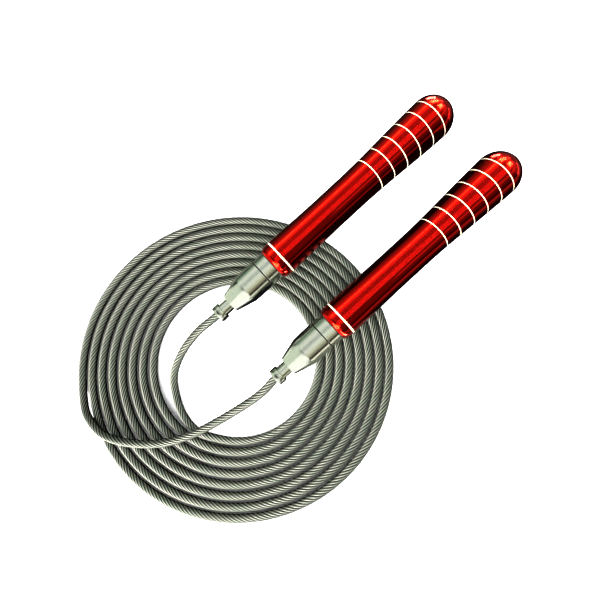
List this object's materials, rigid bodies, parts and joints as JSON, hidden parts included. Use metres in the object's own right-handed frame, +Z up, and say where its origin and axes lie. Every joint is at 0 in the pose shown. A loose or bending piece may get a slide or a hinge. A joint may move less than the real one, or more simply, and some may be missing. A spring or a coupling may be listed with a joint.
{
  "type": "jump rope",
  "caption": "Speed jump rope with two bulb-butted metal handles on ball bearings, swivelling ball-clamp heads and a long wire cable lying in a flat coil.",
  "frame": {"origin": "on the floor under the middle of the two handles' bounding box", "axes": "+Z up, +Y along the handles towards their butts, +X from the inner-end handle to the outer-end handle"},
  "size_m": [0.1647, 0.2529, 0.0235],
  "materials": {
    "anodised_red": "bright red anodised, polished",
    "turned_aluminium": "fine turned",
    "bearing_steel": "ground",
    "spring_steel": "drawn wire",
    "cage_brass": "machined",
    "black_polymer": "matte",
    "wire_cable": "stranded wire under a thin clear coat"
  },
  "bodies": {
    "rope": {"cable_coil": "wire_cable", "cable_lead_a": "wire_cable", "cable_lead_b": "wire_cable", "cable_tail_a": "wire_cable", "cable_end_cap_a": "black_polymer", "head_shell_a": "turned_aluminium", "clamp_sleeve_a": "bearing_steel", "spindle_a": "bearing_steel", "spindle_nut_a": "cage_brass", "bearing_inner_races_a": "bearing_steel", "seal_washer_a": "black_polymer", "release_spring_a": "spring_steel", "cable_tail_b": "wire_cable", "cable_end_cap_b": "black_polymer", "head_shell_b": "turned_aluminium", "clamp_sleeve_b": "bearing_steel", "spindle_b": "bearing_steel", "spindle_nut_b": "cage_brass", "bearing_inner_races_b": "bearing_steel", "seal_washer_b": "black_polymer", "release_spring_b": "spring_steel"},
    "handle_a": {"grip_a": "anodised_red", "front_collar_a": "turned_aluminium", "bearing_outer_races_a": "bearing_steel", "race_spacer_a": "bearing_steel"},
    "ball_sets_a": {"bearing_balls_a": "bearing_steel", "bearing_cages_a": "cage_brass"},
    "release_a": {"release_button_a": "turned_aluminium", "ball_carrier_a": "bearing_steel", "clamp_balls_a": "bearing_steel"},
    "handle_b": {"grip_b": "anodised_red", "front_collar_b": "turned_aluminium", "bearing_outer_races_b": "bearing_steel", "race_spacer_b": "bearing_steel"},
    "ball_sets_b": {"bearing_balls_b": "bearing_steel", "bearing_cages_b": "cage_brass"},
    "release_b": {"release_button_b": "turned_aluminium", "ball_carrier_b": "bearing_steel", "clamp_balls_b": "bearing_steel"}
  },
  "joints": [
    {"name": "handle_a_spin", "type": "hinge", "parent": "rope", "child": "handle_a", "pos_m": [-0.0213, -0.04072, 0.01417], "axis": [0, 0.9996, -0.0297], "continuous": true},
    {"name": "ball_sets_a_spin", "type": "hinge", "parent": "rope", "child": "ball_sets_a", "pos_m": [-0.0213, -0.04072, 0.01417], "axis": [0, 0.9996, -0.0297], "continuous": true},
    {"name": "release_a_push", "type": "slide", "parent": "rope", "child": "release_a", "axis": [0, 0.9996, -0.0297], "range_m": [0, 0.002], "stiffness_N_per_m": 600, "springref_m": -0.003, "deforming": ["release_spring_a"]},
    {"name": "handle_b_spin", "type": "hinge", "parent": "rope", "child": "handle_b", "pos_m": [0.0213, -0.03952, 0.01417], "axis": [0, 0.9996, -0.0297], "continuous": true},
    {"name": "ball_sets_b_spin", "type": "hinge", "parent": "rope", "child": "ball_sets_b", "pos_m": [0.0213, -0.03952, 0.01417], "axis": [0, 0.9996, -0.0297], "continuous": true},
    {"name": "release_b_push", "type": "slide", "parent": "rope", "child": "release_b", "axis": [0, 0.9996, -0.0297], "range_m": [0, 0.002], "stiffness_N_per_m": 600, "springref_m": -0.003, "deforming": ["release_spring_b"]}
  ],
  "couplings": [
    {"joint": "ball_sets_a_spin", "follows": "handle_a_spin", "ratio": 0.6},
    {"joint": "ball_sets_b_spin", "follows": "handle_b_spin", "ratio": 0.6}
  ]
}
